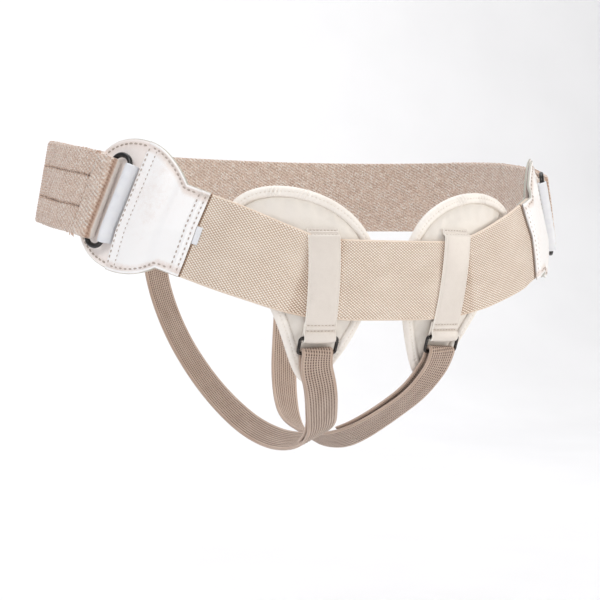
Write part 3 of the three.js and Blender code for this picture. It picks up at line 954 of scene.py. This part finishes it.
def make_back_strap():
    inner = STRAP_THICK / 2
    outer = inner + STRAP_THICK + GAP
    radius = RING_OFF - inner
    top = RING_OFF + radius
    near, far = BAR_AT, GIRTH - BAR_AT
    path = joined(
        straight(far - LAP_LENGTH, outer, far - STRAP_EASE, outer, 64),
        easing(far - STRAP_EASE, outer, far, top, 16),
        half_turn(far, RING_OFF, radius, np.pi / 2, 16),
        straight(far, inner, near, inner, 230),
        half_turn(near, RING_OFF, radius, 1.5 * np.pi, 16),
        easing(near, top, near + STRAP_EASE, outer, 16),
        straight(near + STRAP_EASE, outer, near + LAP_LENGTH, outer, 64),
    )

    def relief(l, q, face):
        from_fold = LAP_LENGTH - np.minimum(l, l[-1] - l)
        on_lap = (face > 0.9) & (from_fold > 0)
        row = sum(bump(q, at, 1.2) for at in LAP_ROWS) * soft_step(from_fold, 9, 0.5)
        ridge = 0.9 * bump(from_fold, RIDGE_AT, 3) - 1.1 * bump(from_fold, GROOVE_AT, GROOVE_HALF)
        tufts = 0.2 * np.sin(l * 1.9 + 3 * np.sin(q * 1.3)) * np.sin(q * 2.3 + 2 * np.sin(l * 0.7))
        return tufts + np.where(on_lap, ridge - 0.9 * row, -0.1)

    made = band("loop_strap", path, strap_width, STRAP_THICK, on_strap, PILE, 56, relief)
    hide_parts("back_strap")

    along = np.empty(3 * len(made.data.vertices))
    made.data.attributes["lay"].data.foreach_get("vector", along)
    past_fold = np.minimum(along[::3], along[::3].max() - along[::3]) - LAP_LENGTH
    # a band past the fold that the pile finish leaves smooth and paints light, for the ring's shaded
    # inside
    store_value(made.data, "smooth_painted_light", plateau(past_fold, 4.4, 40, 0.5))

    lap = path[0][80::-1]

    def lap_row(s, q, sunk):
        level = np.interp(from_bar(s), from_bar(lap[:, 0]), lap[:, 1])
        return row_on(on_strap, s, q, level + STRAP_THICK / 2 - sunk)

    stretches = {
        "right": (near + 10, near + LAP_LENGTH - 2),
        "left": (far - 10, far - LAP_LENGTH + 2),
    }
    rows = [
        lap_row(many(*stretch, 200), at, 0.5) for at in LAP_ROWS for stretch in stretches.values()
    ]
    sewn = stitch_rows("loop_strap_stitches", rows, DARK_THREAD, dash=1.6, pitch=2.3, thick=0.55)
    for side, stretch in stretches.items():
        make_curls(side, min(stretch) - 3, max(stretch) + 3, lap_row)


def make_curls(side, low, high, lap_row):
    """Loops of pile in slanting rows over a lapped end, with frayed ones across its edges"""
    rng = np.random.default_rng(11)
    half = STRAP_WIDTH / 2
    rows = []
    for start in np.arange(low - 2 * half * CURL_SLANT, high, CURL_SPACING):
        q = many(-half + 1, half - 1, 26)
        s = start + (q + half) * CURL_SLANT + rng.normal(0, 0.25, 26)
        groove = np.abs(from_bar(s) - GROOVE_AT) < GROOVE_HALF
        keep = (s > low + 0.8) & (s < high - 0.8) & ~groove
        if keep.sum() > 3:
            rows.append(lap_row(s[keep], q[keep], rng.uniform(0.0, 0.3, keep.sum())))
    for s in np.arange(low + 1, high - 1, FRAY_SPACING):
        for edge in (-1, 1):
            lean = rng.normal(0, 0.5)
            q = edge * np.array([half - 1.7, half + rng.uniform(0.1, 0.7)])
            rows.append(lap_row(np.array([s, s + lean]), q, np.array([0.3, rng.uniform(0.6, 2)])))
    made = stitch_rows(f"pile_curls_{side}", rows, CURL, dash=1.7, pitch=2.1, thick=0.44)


# Pads


def pad_egg(angle):
    """The pad's outline: an egg, wider at the top and bent towards the front middle"""
    rise = (1 + np.sin(angle)) / 2
    half = PAD_FOOT_HALF + PAD_GROWTH * rise**PAD_FULLNESS
    x = half * np.cos(angle) - PAD_BEND * np.sin(np.pi * rise)
    return np.stack([x, PAD_LENGTH * rise], axis=-1)


def pad_outline(turn, inset):
    along = unit(pad_egg(turn + 0.01) - pad_egg(turn - 0.01))
    out = np.stack([along[..., 1], -along[..., 0]], axis=-1)
    return pad_egg(turn) - out * inset, out


def pad_place(x, up):
    """Distance round the form and height of a place on the pad"""
    s = PAD_FOOT[0] + up * math.sin(PAD_TILT) + x * math.cos(PAD_TILT)
    return s, PAD_FOOT[1] + up * math.cos(PAD_TILT) - x * math.sin(PAD_TILT)


def on_pad(x, up, off):
    return on_hip(*pad_place(x, up), off)


def swollen(pad, held):
    """Where a cloth simulation under pressure takes the pad's points, its rim held still"""
    group = pad.vertex_groups.new(name="rim")
    group.add(np.flatnonzero(held).tolist(), 1, "REPLACE")
    cloth = pad.modifiers.new("swell", "CLOTH")
    for name, value in SWELLING.items():
        setattr(cloth.settings, name, value)
    cloth.settings.vertex_group_mass = "rim"
    cloth.settings.effector_weights.gravity = 0
    cloth.collision_settings.use_collision = False
    scene = bpy.context.scene
    for moment in range(1, 21):
        scene.frame_set(moment)
    result = pad.evaluated_get(bpy.context.evaluated_depsgraph_get())
    points = np.empty(len(pad.data.vertices) * 3)
    result.data.vertices.foreach_get("co", points)
    pad.modifiers.remove(cloth)
    pad.vertex_groups.remove(group)
    scene.frame_set(1)
    return points.reshape(-1, 3) / MM


def make_pad(side, turn):
    """A closed lens of even quads: a square grid pressed into the pad's outline, both faces"""
    count = 61
    line = np.linspace(-1, 1, count)
    u, v = np.meshgrid(line, line, indexing="ij")
    across, rise = u * np.sqrt(1 - v**2 / 2), v * np.sqrt(1 - u**2 / 2)
    share, angle = np.hypot(across, rise), np.arctan2(rise, across)
    rim = pad_outline(angle, BINDING_WIDTH - 1.4)[0]
    middle = -PAD_BEND * math.sin(math.pi * PAD_MIDDLE / PAD_LENGTH)
    x = middle + (rim[..., 0] - middle) * share
    up = PAD_MIDDLE + (rim[..., 1] - PAD_MIDDLE) * share
    gather = np.sin(angle * PAD_GATHERS + 2 * np.sin(angle * 5)) * plateau(share, 0.86, 1.2, 0.03)
    gather = gather * (0.25 + 0.75 * bump(angle, 1.9, 1.1)) * 0.3
    front = PAD_FRONT - 2.3 * share**6 + gather
    rear = PAD_BACK + 4.4 * share**3
    inner = (np.abs(u) < 1) & (np.abs(v) < 1)
    number = np.arange(count * count).reshape(count, count)
    behind = number.copy()
    behind[inner] = count * count + np.arange(inner.sum())
    place = turn(on_pad)
    before = place(x, up, np.where(inner, front, (front + rear) / 2))
    points = np.concatenate([before.reshape(-1, 3), place(x, up, rear)[inner]])
    lay = np.stack([x, up, 1 + 0 * x], axis=-1)
    lay = np.concatenate([lay.reshape(-1, 3), lay[inner] * (1, 1, 0)])
    faces = []
    for sheet, order in ((number, 1), (behind, -1)):
        a, b, c, d = sheet[:-1, :-1], sheet[1:, :-1], sheet[1:, 1:], sheet[:-1, 1:]
        quads = np.stack([a, b, c, d], axis=-1).reshape(-1, 4)
        faces += quads[:, ::order].tolist()
    made = make_object(f"pad_body_{side}", points, faces, COVER, lay)

    held = np.concatenate([share.ravel(), share[inner]]) > 0.94
    moved = swollen(made, held) - points
    reach = np.linalg.norm(moved, axis=1, keepdims=True)
    free = 0.15 + 2.6 * covered_by_nothing(*pad_place(x, up))
    cap = np.concatenate([free.ravel(), np.full(inner.sum(), 3.0)])[:, None]
    points = points + moved * np.minimum(1, cap / np.maximum(reach, 1e-6))
    made.data.vertices.foreach_set("co", (points * MM).ravel())
    made.data.update()
    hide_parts(f"pad_{side}")


def strap_middle(z):
    """Distance round the form of the leatherette strap's middle at a height"""
    return PAD_STRAP_AT - PAD_STRAP_LEAN * (PAD_STRAP_LEANS_FROM - z)


def covered_by_nothing(s, z):
    """0 where the elastic or the strap lies on the pad, 1 away from them"""
    far = np.abs(s)
    line = FRONT_HEIGHT + RISE * soft_ramp(far, BEND_AT, BEND_EASE)
    clear_of_belt = soft_step(np.abs(z - line), 29, 1.2)
    clear_of_strap = soft_step(np.abs(far - strap_middle(z)), 15, 1) + soft_step(z, -10, 1.5)
    return clear_of_belt * np.clip(clear_of_strap, 0, 1)


def binding_swell(l, angle):
    """Creases along the binding: sewing that pulls it in, gathers, a dip where it is sewn and
    the puckers where its ends meet"""
    pinch = sum(bump(l, at, 7) for at in PINCH_AT) * np.sin(l * 2.4 + 3 * angle) * 0.2
    pinch = pinch * np.maximum(0, np.sin(angle)) ** 2
    middle = bump(angle, np.pi / 2, 0.3)
    seam = bump(angle, np.pi - 0.25, 0.35)
    pulls = 0.5 + 0.5 * np.sin(2 * np.pi * l / BINDING_PITCH)
    gathers = np.sin(l * 1.7 + 2.2 * np.sin(l * 0.31)) * np.sin(l * 0.53 + 1) * np.sin(angle)
    return pinch - (0.13 + 0.06 * pulls) * middle - 0.14 * seam + 0.035 * gathers


def make_binding(side, turn):
    angle = np.linspace(0, 2 * np.pi, 1100, endpoint=False)
    outline = pad_outline(angle, BINDING_WIDTH / 2)
    centre = PAD_FRONT - BINDING_THICK / 2
    place = turn(lambda x, up, n: on_pad(x, up, centre + n))
    made = wire_loop(
        f"binding_roll_{side}", outline, BINDING_WIDTH / 2, BINDING_THICK / 2, 32, place,
        BINDING, binding_swell,
    )
    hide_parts(f"pad_binding_{side}")
    ring = np.append(angle, 2 * np.pi)
    rows = []
    for inset, level in ((BINDING_WIDTH / 2, BINDING_THICK * 0.42), (5.9, BINDING_THICK * 0.27)):
        rows.append(row_on(place, *pad_outline(ring, inset)[0].T, level))
    sewn = stitch_rows(f"binding_stitches_{side}", rows, PALE_THREAD, 1.5, 2.4, 0.3)


# Leatherette straps and small rings


def strap_face(top, z, q):
    """The strap's outer face below its top edge: welts between its stitch rows, thin cut edges
    and a slight crown"""
    welts = 0.6 * bump(top, TOP_WELT, 1.3)
    welts = welts + 0.85 * bump(z, LOW_WELTS[0], 1.6) + 0.5 * bump(z, LOW_WELTS[1], 1.4)
    rows = sum(bump(top, at, 0.7) for at in TOP_ROWS) + sum(bump(z, at, 0.7) for at in LOW_ROWS)
    sides = bump(np.abs(q), PAD_STRAP_WIDTH / 2 - 1.5, 0.9)
    crown = 0.25 * (1 - (q / 10) ** 2) + 0.14 * np.sin(z / 7.5 + 1) * np.cos(q / 5)
    return welts - 0.42 * rows - 0.2 * sides + crown


def make_pad_strap(side, turn):
    """The strap is laid by lengths below its top edge: on the pad, up over the elastic, back to
    the pad, round the small ring and up behind itself"""
    half = PAD_STRAP_THICK / 2
    on_pad_level = PAD_FRONT + GAP + half
    over_belt = BELT_THICK + GAP + half
    radius = LEG_RING_WIRE / 2 + GAP + half
    behind = LEG_RING_OFF - radius
    over_tail = behind + PAD_STRAP_THICK + GAP
    top = PAD_STRAP_TOPS[side]
    heights = (LEAVES_BELT_AT, REACHES_PAD_AT, LEG_RING_TOP_BAR, TAIL_TOP)
    leaves, lands, bar, tail = (top - z for z in heights)
    path = joined(
        straight(0.6, on_pad_level, 2.1, on_pad_level, 4),
        easing(2.1, on_pad_level, 5.2, over_belt, 12),
        straight(5.2, over_belt, leaves, over_belt, 90),
        easing(leaves, over_belt, lands, over_tail, 16),
        easing(lands, over_tail, bar, LEG_RING_OFF + radius, 16),
        half_turn(bar, LEG_RING_OFF, radius, np.pi / 2, 16),
        straight(bar, behind, tail, behind, 10),
    )
    reach = reach_along(path[0]) + half
    turned = int(np.argmax(path[0][:, 0]))

    def relief(l, q, face):
        below = np.interp(l, reach[: turned + 1], path[0][: turned + 1, 0])
        return np.where((face > 0.9) & (l < reach[turned]), strap_face(below, top - below, q), 0)

    place = turn(lambda l, q, n: on_hip(strap_middle(top - l) + q, top - l, n))
    made = band(
        f"pad_strap_cover_{side}", path, PAD_STRAP_WIDTH, PAD_STRAP_THICK, place, LEATHER, 40,
        relief,
    )
    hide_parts(f"pad_strap_{side}")

    across = many(-8.6, 8.6)
    rows = []
    for below in (*TOP_ROWS, *(top - z for z in LOW_ROWS)):
        level = np.interp(below, path[0][:turned, 0], path[0][:turned, 1]) + half + 0.05
        rows.append(row_on(place, below, across, level + strap_face(below, top - below, across)))
    sewn = stitch_rows(f"pad_strap_stitches_{side}", rows, TAUPE_THREAD, 1.7, 2.3, 0.36)


def make_leg_ring(side, turn):
    height = LEG_RING_HEIGHT - LEG_RING_WIRE
    outline = rounded_rectangle(LEG_RING_LENGTH - LEG_RING_WIRE, height, LEG_RING_CORNER, 0.35)
    middle = LEG_RING_TOP_BAR - height / 2
    place = turn(lambda x, y, n: on_hip(LEG_RING_AT + x, middle + y, LEG_RING_OFF + n))
    half = LEG_RING_WIRE / 2
    made = wire_loop(f"leg_wire_{side}", outline, half, half, 14, place, GUNMETAL)
    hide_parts(f"leg_ring_{side}")


# Ribbed leg elastic


def smooth_route(points, samples=80, touching=1e-4):
    """A smooth curve through points, with calm bends where they lie close together"""
    points = np.asarray(points, dtype=float)
    ends = 2 * points[[0, -1]] - points[[1, -2]]
    points = np.concatenate([ends[:1], points, ends[1:]])
    made = []
    for a, b, c, d in zip(points, points[1:], points[2:], points[3:]):
        gaps = [math.sqrt(np.linalg.norm(n - m)) for m, n in ((a, b), (b, c), (c, d))]
        middle = gaps[1] if gaps[1] > touching else 1
        first, last = (gap if gap > touching else middle for gap in gaps[::2])
        start = middle * ((b - a) / first - (c - a) / (first + middle) + (c - b) / middle)
        stop = middle * ((c - b) / middle - (d - b) / (middle + last) + (d - c) / last)
        t = np.linspace(0, 1, samples, endpoint=False)[:, None]
        made.append(
            b + start * t + (3 * (c - b) - 2 * start - stop) * t**2
            + (2 * (b - c) + start + stop) * t**3
        )
    return np.concatenate([*made, points[-2:-1]])


def leg_route():
    """Points of the elastic's middle line from the small ring to the back strap, and the ways
    that its outer face looks"""
    bar_height = LEG_RING_TOP_BAR - (LEG_RING_HEIGHT - LEG_RING_WIRE)
    bar = on_hip(LEG_RING_AT, bar_height, LEG_RING_OFF)
    out_of_bar = on_hip(LEG_RING_AT, bar_height, LEG_RING_OFF + 1) - bar
    end = GIRTH / 2 - LEG_END_AT
    heights = np.array(LEG_END_HEIGHTS)
    laps = on_hip(end, heights, STRAP_THICK + GAP)
    lap_out = on_hip(end, heights, STRAP_THICK + GAP + 1) - laps
    places, ways = zip(*LEG_ROUTE)
    way = smooth_route([bar, on_hip(LEG_RING_AT, *LEG_HANG), *places, *laps])
    return way, smooth_route([out_of_bar, out_of_bar, *ways, *lap_out])


def softened(rows, spread):
    """Rows of vectors smoothed along the route, with their ends kept"""
    reach = int(3 * spread)
    weights = np.exp(-0.5 * (np.arange(-reach, reach + 1) / spread) ** 2)
    before = 2 * rows[0] - rows[reach:0:-1]
    after = 2 * rows[-1] - rows[-2 : -reach - 2 : -1]
    padded = np.concatenate([before, rows, after])
    weights /= weights.sum()
    return np.stack([np.convolve(padded[:, k], weights, "valid") for k in range(3)], axis=1)


def leg_tables():
    """The route a millimetre at a time: place, direction, outer face and side"""
    way, facing = leg_route()
    reach = reach_along(way)
    stops = np.linspace(0, reach[-1], round(reach[-1]) + 1)
    facing = looked_up(stops, reach, facing)
    way = softened(looked_up(stops, reach, way), 6)
    tangent = unit(np.gradient(way, axis=0))
    side = unit(softened(unit(np.cross(facing, tangent)), 11))
    side = unit(side - tangent * np.sum(side * tangent, axis=1, keepdims=True))
    return reach_along(way), way, tangent, np.cross(tangent, side), side


LEG_REACH, LEG_WAY, LEG_TANGENT, LEG_FACE, LEG_SIDE = leg_tables()
LEG_LENGTH = LEG_REACH[-1]


def on_leg(l, across, off):
    l, across, off = np.broadcast_arrays(l, across, off)
    turn = np.clip(l, 0, LEG_LENGTH)
    tables = (LEG_WAY, LEG_TANGENT, LEG_SIDE, LEG_FACE)
    way, tangent, side, face = (looked_up(turn, LEG_REACH, table) for table in tables)
    point = way + unit(tangent) * (l - turn)[..., None]
    return point + side * across[..., None] + face * off[..., None]


def ribs(l, q, face):
    """Lengthwise ribs with grooves between them and a flatter selvedge on each side"""
    wave = np.abs(np.cos(np.pi * q / RIB_PITCH)) ** 0.8
    body = soft_step(LEG_WIDTH / 2 - np.abs(q), 1.7, 0.2)
    knots = 0.05 * np.cos(2 * np.pi * l / PICK_PITCH) * wave
    return (0.18 * wave - 0.1 + knots) * body


def make_leg_strap(side, turn):
    half = LEG_THICK / 2
    radius = LEG_RING_WIRE / 2 + LEG_FOLD_CLEAR + half
    close, second = LEG_LAYERS_CLOSE_AT, LEG_SECOND_LAYER
    place = turn(on_leg)
    path = joined(
        straight(second, -half - GAP, close, -radius, 30),
        straight(close, -radius, 0, -radius, 6),
        half_turn(0, 0, radius, 1.5 * np.pi, 14),
        straight(0, radius, close, radius, 6),
        straight(close, radius, second, half + GAP, 30),
        straight(second, half + GAP, LEG_LENGTH, half + GAP, 150),
    )
    made = band(f"leg_elastic_{side}", path, LEG_WIDTH, LEG_THICK, place, RIBBED, 66, ribs)
    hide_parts(f"leg_strap_{side}")
    (LEG_LENGTH + second + 8) * MM
    level = half + GAP + half + 0.1
    stops = (second - 1.5, second - 4.5, *(LEG_LENGTH - at for at in LEG_BOX))
    rows = [row_on(place, stop, many(-8.4, 8.4), level) for stop in stops]
    for q in (-LEG_BOX_HALF, LEG_BOX_HALF):
        rows.append(row_on(place, LEG_LENGTH - many(*LEG_BOX), q, level))
    sewn = stitch_rows(f"leg_elastic_stitches_{side}", rows, TAUPE_THREAD, 1.6, 2.2, 0.3)


def make_size_tab():
    level = BELT_THICK + GAP + 0.55
    path = joined(straight(-3.0, level, -0.6, level, 8))
    made = band("blank_tab", path, TAB_WIDTH, TAB_THICK, mirrored(on_patch), RIBBON, 12)
    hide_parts("size_tab")


make_front_belt()
make_back_strap()
make_size_tab()
for side, turn in (("right", lambda place: place), ("left", mirrored)):
    make_patch(side, turn)
    make_side_ring(side, turn)
    make_ribbon(side, turn)
    make_pad(side, turn)
    make_binding(side, turn)
    make_pad_strap(side, turn)
    make_leg_ring(side, turn)
    make_leg_strap(side, turn)

# Floor, light and camera

FLOOR_HEIGHT = -300
FLOOR_FRONT = -4000
SWEEP_RADIUS = 900
WALL_AT = 2100
WALL_TOP = 3500
ROOM_HALF_WIDTH = 4500


def floor_finish():
    made = Finish("floor", 0.7)
    made.colour(made.spots(0.004), (0.3, "#f2f2f3"), (0.7, "#f7f7f8"))
    return made.data


def make_backdrop():
    """A floor that sweeps up into a wall behind, well clear of the belt"""
    bend = np.radians(np.linspace(0, 90, 17))
    sweep = SWEEP_RADIUS * (np.sin(bend) - 1)
    depth = np.concatenate([[FLOOR_FRONT], WALL_AT + sweep, [WALL_AT]])
    rise = SWEEP_RADIUS * (1 - np.cos(bend))
    height = np.concatenate([[FLOOR_HEIGHT], FLOOR_HEIGHT + rise, [WALL_TOP]])
    sides = (-ROOM_HALF_WIDTH, ROOM_HALF_WIDTH)
    points = np.array([(x, y, z) for y, z in zip(depth, height) for x in sides])
    faces = [[2 * k, 2 * k + 1, 2 * k + 3, 2 * k + 2] for k in range(len(depth) - 1)]
    mesh = bpy.data.meshes.new("backdrop")
    mesh.from_pydata((points * MM).tolist(), [], faces)
    mesh.shade_smooth()
    mesh.materials.append(floor_finish())
    backdrop = linked("backdrop", mesh)


make_backdrop()
world = bpy.data.worlds.new("room")
bpy.context.scene.world = world
world.use_nodes = True
room_light = world.node_tree.nodes["Background"].inputs
room_light["Color"].default_value = (0.97, 0.97, 1, 1)
room_light["Strength"].default_value = 0.38
bpy.context.scene.view_settings.view_transform = "Standard"


def area_light(name, at, towards, size, power, colour=(1, 1, 1)):
    light = bpy.data.lights.new(name, "AREA")
    light.size = size
    light.energy = power
    light.color = colour
    lamp = linked(name, light)
    lamp.location = at
    lamp.rotation_euler = (Vector(towards) - Vector(at)).to_track_quat("-Z", "Y").to_euler()


area_light("key", (-1.3, -1.4, 1.2), (0, 0, -0.05), 0.8, 15.2)
area_light("fill", (1.7, -1.2, 0.25), (0.12, 0, -0.05), 1.2, 17, (1, 0.95, 0.87))
area_light("front", (-0.75, -1.45, 0.0), (0, 0, -0.05), 0.7, 1.2)
area_light("wall_light", (0.4, 0.4, 2.3), (0.3, 2.1, 0.2), 2.0, 42)

CAMERA_TURN = math.radians(-27)
CAMERA_DISTANCE = 1.0
CAMERA_HEIGHT = -0.0593
back = Vector((math.sin(CAMERA_TURN), -math.cos(CAMERA_TURN), 0))
camera = linked("camera", bpy.data.cameras.new("camera"))
camera.data.lens = 91.26
camera.data.sensor_width = 36
camera.location = back * CAMERA_DISTANCE + Vector((0, 0, CAMERA_HEIGHT))
camera.rotation_euler = (-back).to_track_quat("-Z", "Y").to_euler()
bpy.context.scene.camera = camera
